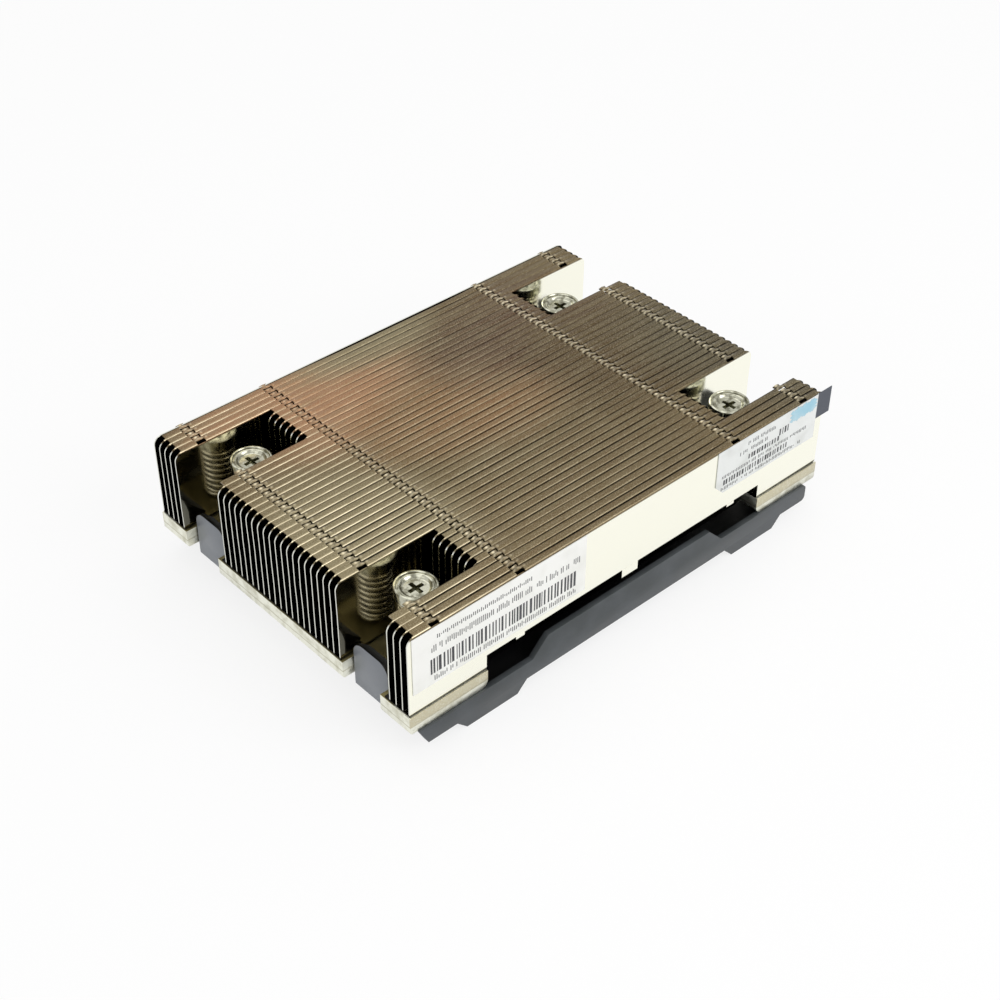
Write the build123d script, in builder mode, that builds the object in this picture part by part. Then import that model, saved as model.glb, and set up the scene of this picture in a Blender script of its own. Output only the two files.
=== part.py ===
from build123d import *
import os
from math import cos, pi

# A passive heatsink for a flat server: a stack of folded sheet fins on a plate with ears, held down by
# four captive spring screws, with a moulded cover under the plate that keeps its contact face clean.
# X runs along the fins with the air, Y across the stack, Z up from the plate's contact face.
# The origin is the middle of the contact face, which is also the middle of the four screws.

# Fin stack
fin_count = 44
fin_pitch = 2.0
sheet = 0.4                  # thickness of a folded fin
fin_past_screw = 14.9        # from the screws' axes to the fins' ends
fin_height = 21.2
flange_gap = 0.08            # from a flange's free edge to the next fin
end_corner = 1.6             # cut off a fin's upper end corners, where the flange stops short too

# Interlock between neighbouring fins: rows of tongues and windows
row_inner_inset = 6.2        # from the ends of the short fins
row_outer_inset = 7.2        # from the ends of the long fins
tongue_root = 1.1
tongue_tip = 1.7
tongue_length = 0.75
tongue_bite = 0.1            # how far a tongue's outline starts inside its flange
tongue_side_gap = 0.3        # from a tongue's tip to the ends of its window
tongue_end_gap = 0.33        # from a tongue's tip to the far side of its window

# Screws
screw_spacing_x = 94.0
screw_spacing_y = 56.0
head_radius = 4.7
head_height = 2.6
head_clear_of_top = 4.7      # from the top of the fins down to the head
recess_span = 4.6
recess_width = 1.2
recess_depth = 1.6
shank_radius = 2.7
neck_radius = 1.6            # of the undercut between the shank and the thread
thread_radius = 2.0
thread_length = 5.4

# Retaining clips in the undercuts
clip_width = 8.0
clip_thickness = 0.7
clip_clearance = 0.05

# Springs
spring_wire = 0.9
spring_clearance = 0.07      # round the shank
spring_turns = 8
spring_flats = 6             # straight stretches that each turn is drawn with
spring_seat_gap = 0.05

# Base plate
base_thickness = 4.5
base_overhang_x = 0.2        # past the fins' ends
base_overhang_y = 0.3        # past the outermost fins' faces
base_side_recess = 5.6       # depth of the step between the ears
ear_length = 20.7
ear_corner = 2.0             # rounding under the ears' inner ends
base_edge_chamfer = 0.4
end_slot_width = 12.2
end_slot_depth = 6.6
base_hole_clearance = 0.25

# Notches over the screws
notch_fins = 7               # fins cut short at each notch
notch_past_screw = 8.7       # from the screw's axis inwards to the short fins' ends

# Outer fins, beyond the narrow middle of the plate
skirt_lift = 3.5             # height of their lower edge above the plate between the ears
tab_length = 4.8
tab_drop = 1.75
nib_length = 2.4
nib_drop = 0.35

# Cover
cover_wall = 1.5
cover_overhang = 0.5         # past the plate's ears
cover_gap = 0.1              # from the rails to the underside of the ears
cover_floor_gap = 1.1
cover_floor = 1.4
rail_depth = 4.5             # height of a rail below the ears
foot_drop = 2.7
foot_inner_x = 33.5
foot_outer_x = 47.5
rail_front_top_inset = 1.9   # from the plate's end
rail_front_foot_inset = 4.2
rail_rear_inset = 3.3
rail_corner = 1.2
rail_rise = 4.4              # how much the rail's top rises between the ears
rise_inner_x = 24.8
rise_outer_x = 29.2
screw_window_gap = 1.5       # from a retaining clip to the square window under it
floor_past_window = 4.0
hook_side_gap = 0.6          # in the plate's end slot
hook_face_inset = 2.6        # from the plate's end
hook_top = 5.1               # above the top of the plate
hook_corner = 3.0
hook_nose_lap = 0.3          # how far the nose reaches over the plate
hook_nose_gap = 0.3
hook_nose_height = 0.5

# Labels on the outermost fin's face
label_thickness = 0.15
front_label_inset = 1.0      # from the fins' end
front_label_length = 47.0
front_label_height = 14.8
front_label_drop = 0.8       # below the top of the fins
rear_label_inset = 2.3
rear_label_length = 33.4
rear_label_height = 12.0
rear_label_drop = 0.6
rear_label_corner = 2.5
tape_overhang = 2.4          # of the dark tape past the fins' end
tape_height = 7.0
tape_drop = 0.4

# Derived sizes
base_top = base_thickness
fin_top = base_top + fin_height
screw_x = screw_spacing_x / 2
screw_y = screw_spacing_y / 2
fin_end = screw_x + fin_past_screw
fin_reach = fin_pitch - sheet / 2 - flange_gap
stack_side = (fin_count - 1) / 2 * fin_pitch + sheet / 2
base_end = fin_end + base_overhang_x
base_side = stack_side + base_overhang_y
base_waist = base_side - base_side_recess
ear_start = base_end - ear_length
skirt_bottom = base_top + skirt_lift
screw_places = [(sx * screw_x, sy * screw_y) for sx in (-1, 1) for sy in (1, -1)]
short_end = screw_x - notch_past_screw
row_inner_x = short_end - row_inner_inset
row_outer_x = fin_end - row_outer_inset
window_length = tongue_tip + 2 * tongue_side_gap
window_reach = fin_reach + tongue_length - fin_pitch + sheet / 2 + tongue_end_gap
head_top = fin_top - head_clear_of_top
head_under = head_top - head_height
cover_side = base_side + cover_overhang
floor_top = -cover_floor_gap
floor_bottom = floor_top - cover_floor
rail_top = -cover_gap
rail_bottom = rail_top - rail_depth
foot_bottom = rail_bottom - foot_drop
rail_front_top_x = base_end - rail_front_top_inset
rail_front_foot_x = base_end - rail_front_foot_inset
rail_rear_x = base_end - rail_rear_inset
screw_window = clip_width + 2 * screw_window_gap
floor_half_length = screw_x + screw_window / 2 + floor_past_window
hook_face_x = base_end - hook_face_inset
hook_width = end_slot_width - 2 * hook_side_gap


def fin_row_places(half_length):
    """X places of the interlocks that fit on a fin of this half length."""
    rows = [x for x in (row_inner_x, row_outer_x) if x + window_length / 2 < half_length]
    return [-x for x in reversed(rows)] + rows


def folded_span(x_from, x_to, bottom):
    """Add a stretch of folded fin whose lower flange lies at the given height."""
    upper = fin_top - sheet / 2
    lower = bottom + sheet / 2
    with BuildSketch(Plane.YZ.offset(x_from)) as profile:
        with BuildLine():
            Polyline((fin_reach, upper), (0, upper), (0, lower), (fin_reach, lower))
        trace(line_width=sheet)
    extrude(profile.sketch, amount=x_to - x_from)


def flat_span(x_from, x_to, bottom):
    """Add a stretch of flat sheet with no flanges."""
    with BuildSketch(Plane.YZ.offset(x_from)) as profile:
        with Locations((0, (fin_top + bottom) / 2)):
            Rectangle(sheet, fin_top - bottom)
    extrude(profile.sketch, amount=x_to - x_from)


def cut_end_corners(half_length):
    """Cut off the web's upper end corners and end the upper flange behind them."""
    for end in (-1, 1):
        tip = end * half_length
        heel = tip - end * end_corner
        with BuildSketch(Plane.XZ) as corner:
            with BuildLine():
                Polyline((heel, fin_top), (tip, fin_top), (tip, fin_top - end_corner), close=True)
            make_face()
        extrude(corner.sketch, amount=fin_pitch, both=True, mode=Mode.SUBTRACT)
        with BuildSketch(Plane.XY.offset(fin_top)) as trim:
            with Locations(((tip + heel) / 2, sheet / 2 + fin_pitch / 2)):
                Rectangle(end_corner, fin_pitch)
        extrude(trim.sketch, amount=-sheet, mode=Mode.SUBTRACT)


def cut_windows(places):
    """Cut the windows that the next fin's tongues enter, through the upper fold."""
    with BuildSketch(Plane.XY.offset(fin_top)) as windows:
        with Locations([(x, window_reach / 2 - sheet / 2) for x in places]):
            Rectangle(window_length, window_reach)
    extrude(windows.sketch, amount=-sheet, mode=Mode.SUBTRACT)


def add_tongues(places):
    """Add the dovetail tongues on the upper flange's free edge."""
    inner = fin_reach - tongue_bite
    outer = fin_reach + tongue_length
    with BuildSketch(Plane.XY.offset(fin_top)) as tongues:
        for x in places:
            with BuildLine():
                Polyline(
                    (x - tongue_root / 2, inner),
                    (x + tongue_root / 2, inner),
                    (x + tongue_tip / 2, outer),
                    (x - tongue_tip / 2, outer),
                    close=True,
                )
            make_face()
    extrude(tongues.sketch, amount=-sheet)


def skirt_details():
    """Add the middle tab and the two nibs under an outer fin's stepped-up edge."""
    with BuildSketch(Plane.XZ.offset(-sheet / 2)) as details:
        with Locations((0, skirt_bottom - tab_drop / 2 + sheet)):
            Rectangle(tab_length, tab_drop + 2 * sheet)
        with Locations([(x, skirt_bottom - nib_drop / 2 + sheet) for x in (-row_inner_x, row_inner_x)]):
            Rectangle(nib_length, nib_drop + 2 * sheet)
    extrude(details.sketch, amount=sheet)


# A fin that runs the whole length of the stack
with BuildPart() as long_fin:
    folded_span(-fin_end, fin_end, base_top)
    cut_end_corners(fin_end)
    cut_windows(fin_row_places(fin_end))
    add_tongues(fin_row_places(fin_end))

# A fin cut short at both ends by the notches over the screws
with BuildPart() as short_fin:
    folded_span(-short_end, short_end, base_top)
    cut_end_corners(short_end)
    cut_windows(fin_row_places(short_end))
    add_tongues(fin_row_places(short_end))

# A fin beyond the plate's narrow middle: its lower flange is stepped up between the ears
with BuildPart() as outer_fin:
    folded_span(-fin_end, -ear_start, base_top)
    folded_span(-ear_start, ear_start, skirt_bottom)
    folded_span(ear_start, fin_end, base_top)
    cut_end_corners(fin_end)
    cut_windows(fin_row_places(fin_end))
    add_tongues(fin_row_places(fin_end))
    skirt_details()

# The flat sheet that closes the stack on the side where no flange is needed
with BuildPart() as end_sheet:
    flat_span(-fin_end, -ear_start, base_top)
    flat_span(-ear_start, ear_start, skirt_bottom)
    flat_span(ear_start, fin_end, base_top)
    cut_end_corners(fin_end)
    cut_windows(fin_row_places(fin_end))
    skirt_details()


def fin_for(web_y):
    """Choose the fin that stands at this place across the stack."""
    middle = web_y + (fin_reach - sheet / 2) / 2
    if abs(abs(middle) - screw_y) < notch_fins * fin_pitch / 2:
        return short_fin
    if abs(web_y) + sheet / 2 > base_waist:
        return outer_fin
    return long_fin


os.makedirs("parts", exist_ok=True)

for number in range(1, fin_count + 1):
    web_y = ((fin_count + 1) / 2 - number) * fin_pitch
    pattern = end_sheet if number == 1 else fin_for(web_y)
    fin = pattern.part.moved(Location((0, web_y, 0)))
    fin.label = f"fin_{number:02d}"
    export_step(fin, f"parts/{fin.label}.step")


# Base plate: a stamped plate with an ear at each corner and a slot in each end edge below each notch
with BuildPart() as base_plate:
    with BuildSketch():
        Rectangle(2 * base_end, 2 * base_side)
        with Locations((0, (base_side + base_waist) / 2), (0, -(base_side + base_waist) / 2)):
            Rectangle(2 * ear_start, base_side_recess, mode=Mode.SUBTRACT)
        slot_x = base_end - end_slot_depth / 2
        with Locations([(x, y) for x in (-slot_x, slot_x) for y in (-screw_y, screw_y)]):
            Rectangle(end_slot_depth, end_slot_width, mode=Mode.SUBTRACT)
        with Locations(screw_places):
            Circle(shank_radius + base_hole_clearance, mode=Mode.SUBTRACT)
    extrude(amount=base_thickness)
    ear_inner_edges = base_plate.edges().filter_by(Axis.Y).filter_by(
        lambda e: abs(abs(e.center().X) - ear_start) < sheet and abs(e.center().Z) < sheet
    )
    fillet(ear_inner_edges, radius=ear_corner)
    end_edges = base_plate.edges().filter_by(Axis.Y).filter_by(
        lambda e: abs(abs(e.center().X) - base_end) < sheet and abs(e.center().Z) < sheet
    )
    chamfer(end_edges, length=base_edge_chamfer)
base_plate.part.label = "base_plate"
export_step(base_plate.part, "parts/base_plate.step")


# Cover: a floor under the plate between two side rails that carry feet, with a hook in each end slot
rail_outline = [
    (-rail_front_foot_x, rail_bottom),
    (-foot_outer_x - foot_drop, rail_bottom),
    (-foot_outer_x, foot_bottom),
    (-foot_inner_x, foot_bottom),
    (-foot_inner_x + foot_drop, rail_bottom),
    (foot_inner_x - foot_drop, rail_bottom),
    (foot_inner_x, foot_bottom),
    (foot_outer_x, foot_bottom),
    (foot_outer_x + foot_drop, rail_bottom),
    (rail_rear_x, rail_bottom),
    (rail_rear_x, rail_top),
    (rise_outer_x, rail_top),
    (rise_inner_x, rail_top + rail_rise),
    (-rise_inner_x, rail_top + rail_rise),
    (-rise_outer_x, rail_top),
    (-rail_front_top_x, rail_top),
]

with BuildPart() as cover:
    with BuildSketch(Plane.XY.offset(floor_bottom)):
        Rectangle(2 * floor_half_length, 2 * cover_side - cover_wall)
        with Locations([(s * hook_face_x / 2, y) for s in (-1, 1) for y in (-screw_y, screw_y)]):
            Rectangle(hook_face_x, hook_width)
        with Locations(screw_places):
            Rectangle(screw_window, screw_window, mode=Mode.SUBTRACT)
    extrude(amount=cover_floor)
    for side in (-1, 1):
        with BuildSketch(Plane.XZ.offset(side * (cover_side - cover_wall / 2))) as rail:
            with BuildLine():
                Polyline(*rail_outline, close=True)
            make_face()
            rear_corners = rail.vertices().filter_by(lambda v: v.X > rail_rear_x - sheet)
            fillet(rear_corners, radius=rail_corner)
        extrude(amount=cover_wall / 2, both=True)
    nose_x = base_end - end_slot_depth - hook_nose_lap
    nose_low = base_top + hook_nose_gap
    nose_high = nose_low + hook_nose_height
    for end in (-1, 1):
        for hook_y in (-screw_y, screw_y):
            with BuildSketch(Plane.XZ.offset(-hook_y)):
                with BuildLine():
                    Polyline(
                        (end * hook_face_x, floor_bottom),
                        (end * hook_face_x, base_top + hook_top),
                        (end * nose_x, nose_high),
                        (end * nose_x, nose_low),
                        (end * (hook_face_x - cover_wall), nose_low),
                        (end * (hook_face_x - cover_wall), floor_bottom),
                        close=True,
                    )
                make_face()
            extrude(amount=hook_width / 2, both=True)
            with BuildSketch(Plane.YZ.offset(end * nose_x)):
                for side in (-1, 1):
                    corner_y = hook_y + side * hook_width / 2
                    corner_z = base_top + hook_top
                    with BuildLine():
                        Polyline(
                            (corner_y - side * hook_corner, corner_z),
                            (corner_y, corner_z),
                            (corner_y, corner_z - hook_corner),
                        )
                        RadiusArc(
                            (corner_y, corner_z - hook_corner),
                            (corner_y - side * hook_corner, corner_z),
                            -side * hook_corner,
                        )
                    make_face()
            extrude(amount=end * (hook_face_x - nose_x), mode=Mode.SUBTRACT)
cover.part.label = "protective_cover"
export_step(cover.part, "parts/protective_cover.step")


# Screws: a dished head with a cross recess, a shank through the spring and the plate, and a threaded end
neck_top = -clip_clearance
neck_bottom = neck_top - clip_thickness - 2 * clip_clearance
thread_end = neck_bottom - thread_length
spring_radius = (shank_radius + spring_clearance) / cos(pi / spring_flats) + spring_wire / 2
spring_steps = spring_turns * spring_flats
spring_turn = 360 / spring_flats
spring_bottom = base_top + spring_seat_gap + spring_wire / 2
spring_rise = (head_under - spring_seat_gap - spring_wire / 2 - spring_bottom) / spring_steps


def spring_section(x, y, step):
    """Corners of the wire's square section after this many stretches round the coil."""
    section = Plane((x, y, spring_bottom + step * spring_rise)).rotated((0, 0, step * spring_turn))
    half = spring_wire / 2
    corners = ((-half, -half), (half, -half), (half, half), (-half, half))
    return [section.from_local_coords((spring_radius + across, 0, up)) for across, up in corners]


def spring_stretch(start, end):
    """Faces of the wire between two sections: the flat sides, and the twisted ones as two triangles."""
    faces = []
    for corner in range(4):
        after = (corner + 1) % 4
        side = [start[corner], start[after], end[after], end[corner]]
        if corner % 2:
            faces.append(Face(Wire.make_polygon(side)))
        else:
            faces.append(Face(Wire.make_polygon(side[:3])))
            faces.append(Face(Wire.make_polygon([side[0], side[2], side[3]])))
    return faces


for number, (x, y) in enumerate(screw_places, start=1):
    with BuildPart() as screw:
        with BuildSketch(Plane((x, y, 0), x_dir=(1, 0, 0), z_dir=(0, -1, 0))):
            with BuildLine():
                Polyline(
                    (0, head_top),
                    (head_radius, head_top),
                    (head_radius, head_under),
                    (shank_radius, head_under),
                    (shank_radius, neck_top),
                    (neck_radius, neck_top),
                    (neck_radius, neck_bottom),
                    (thread_radius, neck_bottom),
                    (thread_radius, thread_end),
                    (0, thread_end),
                    close=True,
                )
            make_face()
        revolve(axis=Axis((x, y, 0), (0, 0, 1)))
        with BuildSketch(Plane((x, y, head_top))):
            Rectangle(recess_span, recess_width)
            Rectangle(recess_width, recess_span)
        extrude(amount=-recess_depth, mode=Mode.SUBTRACT)
    screw.part.label = f"captive_screw_{number}"
    export_step(screw.part, f"parts/{screw.part.label}.step")

    with BuildPart() as clip:
        with BuildSketch(Plane((x, y, neck_top - clip_clearance - clip_thickness))):
            Rectangle(clip_width, clip_width)
            Circle(neck_radius + clip_clearance, mode=Mode.SUBTRACT)
            with Locations((clip_width / 2, 0)):
                Rectangle(clip_width, 2 * (neck_radius + clip_clearance), mode=Mode.SUBTRACT)
        extrude(amount=clip_thickness)
    clip.part.label = f"retaining_clip_{number}"
    export_step(clip.part, f"parts/{clip.part.label}.step")

    sections = [spring_section(x, y, step) for step in range(spring_steps + 1)]
    wire_faces = [Face(Wire.make_polygon(sections[0])), Face(Wire.make_polygon(sections[-1]))]
    for start, end in zip(sections, sections[1:]):
        wire_faces += spring_stretch(start, end)
    with BuildPart() as spring:
        add(Solid(Shell(wire_faces)))
    spring.part.label = f"spring_{number}"
    export_step(spring.part, f"parts/{spring.part.label}.step")


# Labels on the outermost fin: a plain one near one end, and one with a dark tape over the fins' other end
label_face = Plane.XZ.offset(stack_side)


def label_sheet(x_from, length, drop, height):
    """Draw one rectangle on the label face, this far below the top of the fins."""
    with Locations((x_from + length / 2, fin_top - drop - height / 2)):
        return Rectangle(length, height)


with BuildPart() as front_label:
    with BuildSketch(label_face):
        label_sheet(-fin_end + front_label_inset, front_label_length, front_label_drop, front_label_height)
    extrude(amount=label_thickness)
front_label.part.label = "front_label"
export_step(front_label.part, "parts/front_label.step")

with BuildPart() as rear_label:
    with BuildSketch(label_face) as rear_outline:
        rear_label_end = fin_end - rear_label_inset
        label_sheet(rear_label_end - rear_label_length, rear_label_length, rear_label_drop, rear_label_height)
        upper_inner = rear_outline.vertices().group_by(Axis.Z)[-1].sort_by(Axis.X)[0]
        chamfer(upper_inner, length=rear_label_corner)
        tape_start = rear_label_end - label_thickness
        label_sheet(tape_start, fin_end + tape_overhang - tape_start, tape_drop, tape_height)
    extrude(amount=label_thickness)
rear_label.part.label = "rear_label"
export_step(rear_label.part, "parts/rear_label.step")
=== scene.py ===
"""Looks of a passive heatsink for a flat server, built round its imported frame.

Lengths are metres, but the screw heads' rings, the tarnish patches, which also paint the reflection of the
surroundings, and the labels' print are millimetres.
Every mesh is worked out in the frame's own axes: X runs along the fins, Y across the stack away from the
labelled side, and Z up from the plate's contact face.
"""

import logging
import math
from dataclasses import dataclass, field
from enum import Enum

import bmesh
import bpy
import numpy as np
from mathutils import Matrix, Vector
from numpy.typing import NDArray


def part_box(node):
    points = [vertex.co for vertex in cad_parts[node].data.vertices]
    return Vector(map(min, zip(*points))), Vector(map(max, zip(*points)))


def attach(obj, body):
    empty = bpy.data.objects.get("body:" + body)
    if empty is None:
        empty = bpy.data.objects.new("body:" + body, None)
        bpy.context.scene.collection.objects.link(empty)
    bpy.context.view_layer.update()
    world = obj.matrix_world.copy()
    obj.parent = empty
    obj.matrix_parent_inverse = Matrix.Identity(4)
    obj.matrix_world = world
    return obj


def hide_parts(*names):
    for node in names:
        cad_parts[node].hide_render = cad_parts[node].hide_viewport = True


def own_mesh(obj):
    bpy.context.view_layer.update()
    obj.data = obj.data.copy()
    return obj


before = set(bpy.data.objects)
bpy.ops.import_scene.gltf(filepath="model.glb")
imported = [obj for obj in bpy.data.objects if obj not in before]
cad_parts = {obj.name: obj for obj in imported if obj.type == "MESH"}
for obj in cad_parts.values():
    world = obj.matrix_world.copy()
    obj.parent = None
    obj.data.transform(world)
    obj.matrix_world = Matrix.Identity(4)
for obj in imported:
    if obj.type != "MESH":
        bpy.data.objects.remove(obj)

Array = NDArray[np.float64]
Color = tuple[float, float, float, float]
Span3 = tuple[float, float, float]
Area = tuple[float, float, float, float]
Socket = bpy.types.NodeSocket
Material = bpy.types.Material
Piece = bpy.types.Object
Value = Socket | float | Color | Span3

MM = 0.001
TURN = 2 * math.pi

log = logging.getLogger("heatsink")


def shade(red: int, green: int, blue: int) -> Color:
    """Turn a display colour of 0 to 255 into the linear colour that a shader takes.

    Args:
        red: display red.
        green: display green.
        blue: display blue.

    Returns:
        The linear colour with full alpha, by the usual 2.4 power curve with its straight foot.
    """
    parts = np.array([red, green, blue]) / 255.0
    linear = np.where(parts <= 0.04045, parts / 12.92, ((parts + 0.055) / 1.055) ** 2.4)
    return (float(linear[0]), float(linear[1]), float(linear[2]), 1.0)


def grid_quads(rows: int, columns: int, wrap: bool = False) -> Array:
    """Index the quads of a grid of points that is stored row after row.

    Args:
        rows: number of rows of points.
        columns: number of points in each row.
        wrap: whether the last column joins the first.

    Returns:
        Corner indices shaped (rows - 1, quads in a row, 4).
    """
    index = np.arange(rows * columns).reshape(rows, columns)
    left = index if wrap else index[:, :-1]
    right = np.roll(index, -1, axis=1) if wrap else index[:, 1:]
    return np.stack([left[:-1], right[:-1], right[1:], left[1:]], axis=-1)


def link_piece(name: str, data: bpy.types.ID) -> Piece:
    """Make an object of a mesh, a camera or a light, and link it into the scene.

    Args:
        name: the object's name.
        data: what it shows.

    Returns:
        The object.
    """
    piece = bpy.data.objects.new(name, data)
    bpy.context.scene.collection.objects.link(piece)
    return piece


def mesh_piece(name: str, points: Array, quads: Array, marks: dict[str, Array] | None = None) -> Piece:
    """Make an object of one mesh from grid points and the quads that are kept of the grid.

    Args:
        name: the piece's name.
        points: every grid point, shaped (..., 3).
        quads: corner indices, shaped (..., 4).
        marks: values for each grid point that materials read by name.

    Returns:
        The linked object, with the points that no quad uses left out.
    """
    corners = quads.reshape(-1, 4)
    used, inverse = np.unique(corners, return_inverse=True)
    mesh = bpy.data.meshes.new(name)
    mesh.from_pydata(points.reshape(-1, 3)[used].tolist(), [], inverse.reshape(-1, 4).tolist())
    for mark, values in (marks or {}).items():
        layer = mesh.attributes.new(mark, "FLOAT", "POINT")
        layer.data.foreach_set("value", values.reshape(-1)[used].astype(np.float32))
    mesh.update()
    return link_piece(name, mesh)


def close_poles(piece: Piece) -> None:
    """Merge points that lie on each other, which closes poles and seams, and point all faces outwards.

    Args:
        piece: the object, whose mesh is changed.
    """
    work = bmesh.new()
    work.from_mesh(piece.data)
    bmesh.ops.remove_doubles(work, verts=work.verts, dist=MM / 1000)
    bmesh.ops.recalc_face_normals(work, faces=work.faces)
    work.to_mesh(piece.data)
    work.free()


def settle(piece: Piece, sharp_angle: float = 35.0) -> None:
    """Apply a piece's modifiers and shade it smooth except at its sharp edges.

    Args:
        piece: the object, at the origin.
        sharp_angle: degrees between two faces above which their edge stays sharp.
    """
    evaluated = piece.evaluated_get(bpy.context.evaluated_depsgraph_get())
    mesh = bpy.data.meshes.new_from_object(evaluated)
    piece.modifiers.clear()
    piece.data = mesh
    mesh.polygons.foreach_set("use_smooth", np.ones(len(mesh.polygons), bool))
    mesh.set_sharp_from_angle(angle=math.radians(sharp_angle))


def dress(piece: Piece, material: Material) -> None:
    """Give a piece its material.

    Args:
        piece: the object.
        material: what it is made of.
    """
    piece.data.materials.clear()
    piece.data.materials.append(material)


def wander(places: Array, seed: int, lengths: tuple[float, ...]) -> Array:
    """Slow irregular wave between -1 and 1: the mean of sines with the given lengths and seeded phases.

    Args:
        places: where the wave is wanted.
        seed: for the sines' phases.
        lengths: the length of each sine, in the unit of the places.

    Returns:
        The wave's value at each place.
    """
    phases = np.random.default_rng(seed).uniform(0, TURN, len(lengths))
    waves = [np.sin(TURN * places / length + phase) for length, phase in zip(lengths, phases)]
    return np.mean(waves, axis=0)


class Wiring:
    """The node tree of one material, with short ways to add and join its nodes."""

    def __init__(self, name: str) -> None:
        """Start a material that holds a plain Principled shader.

        Args:
            name: the material's name.
        """
        self.material = bpy.data.materials.new(name)
        self.material.use_nodes = True
        self.tree = self.material.node_tree
        self.surface = self.tree.nodes["Principled BSDF"]
        self.place = self.add("ShaderNodeTexCoord").outputs["Object"]

    def add(self, kind: str, inputs: dict[str | int, Value] | None = None, **settings: str) -> bpy.types.Node:
        """Add a node.

        Args:
            kind: Blender's name of the node type.
            inputs: sockets to join or values to set, by input name or number.
            **settings: properties of the node itself.

        Returns:
            The node.
        """
        node = self.tree.nodes.new(kind)
        for key, value in settings.items():
            setattr(node, key, value)
        for key, value in (inputs or {}).items():
            self.feed(node.inputs[key], value)
        return node

    def feed(self, socket: Socket, value: Value) -> None:
        """Join an output to a socket, or set the socket's own value.

        Args:
            socket: an input of a node.
            value: an output of another node, or a number, a vector or a colour.
        """
        if isinstance(value, bpy.types.NodeSocket):
            self.tree.links.new(value, socket)
        else:
            socket.default_value = value

    def coat(self, **inputs: Value) -> None:
        """Feed the shader's sockets, where an underscore stands for a space in a socket's name."""
        for key, value in inputs.items():
            self.feed(self.surface.inputs[key.replace("_", " ")], value)

    def math(self, operation: str, first: Value, second: Value = 0.0) -> Socket:
        """Work out one sum of two values."""
        return self.add("ShaderNodeMath", {0: first, 1: second}, operation=operation).outputs[0]

    def product(self, *values: Value) -> Socket:
        """Multiply values together.

        Args:
            *values: two or more of them.

        Returns:
            Their product.
        """
        result = values[0]
        for value in values[1:]:
            result = self.math("MULTIPLY", result, value)
        return result

    def mix(self, share: Value, first: Value, second: Value) -> Socket:
        """Mix two colours.

        Args:
            share: how much of the second, from 0 to 1.
            first: the colour at 0.
            second: the colour at 1.

        Returns:
            The mixed colour.
        """
        node = self.add("ShaderNodeMix", data_type="RGBA")
        self.feed(node.inputs["Factor"], share)
        self.feed(node.inputs[6], first)
        self.feed(node.inputs[7], second)
        return node.outputs[2]

    def span(
        self, value: Value, low: float, high: float, to_low: float = 0.0, to_high: float = 1.0
    ) -> Socket:
        """Carry a value from one range to another with soft ends."""
        inputs = {"Value": value, "From Min": low, "From Max": high, "To Min": to_low, "To Max": to_high}
        return self.add("ShaderNodeMapRange", inputs, interpolation_type="SMOOTHSTEP").outputs["Result"]

    def axis(self, letter: str) -> Socket:
        """One coordinate of the place on the object, in metres."""
        return self.add("ShaderNodeSeparateXYZ", {0: self.place}).outputs[letter]

    def off(self, letter: str) -> Socket:
        """Distance from the object's middle along one axis, to either side."""
        return self.math("ABSOLUTE", self.axis(letter))

    def facing(self, letter: str) -> Socket:
        """One coordinate of the direction that the surface faces."""
        normal = self.add("ShaderNodeNewGeometry").outputs["Normal"]
        return self.add("ShaderNodeSeparateXYZ", {0: normal}).outputs[letter]

    def noise(self, size: float, detail: float = 2.0, stretch: Span3 = (1, 1, 1)) -> Socket:
        """Fractal grain between 0 and 1.

        Args:
            size: about how large its features are, in metres.
            detail: how much finer grain is added.
            stretch: how far it is drawn out along each axis.

        Returns:
            The grain's value at each place.
        """
        scale = tuple(1 / (size * s) for s in stretch)
        place = self.add("ShaderNodeMapping", {"Vector": self.place, "Scale": scale}).outputs[0]
        inputs = {"Vector": place, "Scale": 1.0, "Detail": detail}
        return self.add("ShaderNodeTexNoise", inputs).outputs["Fac"]

    def mark(self, name: str) -> Socket:
        """Values that a mesh carries for each point."""
        return self.add("ShaderNodeAttribute", attribute_name=name).outputs["Fac"]

    def bump(self, height: Value, depth: float, strength: float = 1.0) -> None:
        """Raise the surface by a height map."""
        node = self.add("ShaderNodeBump", {"Height": height, "Distance": depth, "Strength": strength})
        self.feed(self.surface.inputs["Normal"], node.outputs["Normal"])

    def patch(self, centre: tuple[float, float], reach: tuple[float, float], ragged: Socket) -> Socket:
        """Share of a soft oval patch in plan: 1 at its centre, 0 past its reach, with a ragged edge.

        Args:
            centre: X and Y of the patch.
            reach: half its length and half its width.
            ragged: grain that shifts the edge.

        Returns:
            The patch's share at each place.
        """
        across = self.math("DIVIDE", self.math("SUBTRACT", self.axis("X"), centre[0]), reach[0])
        along = self.math("DIVIDE", self.math("SUBTRACT", self.axis("Y"), centre[1]), reach[1])
        squared = self.math("ADD", self.product(across, across), self.product(along, along))
        edge = self.math("ADD", squared, self.product(self.math("SUBTRACT", ragged, 0.5), 0.9))
        return self.span(edge, 1.1, 0.0)


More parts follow.
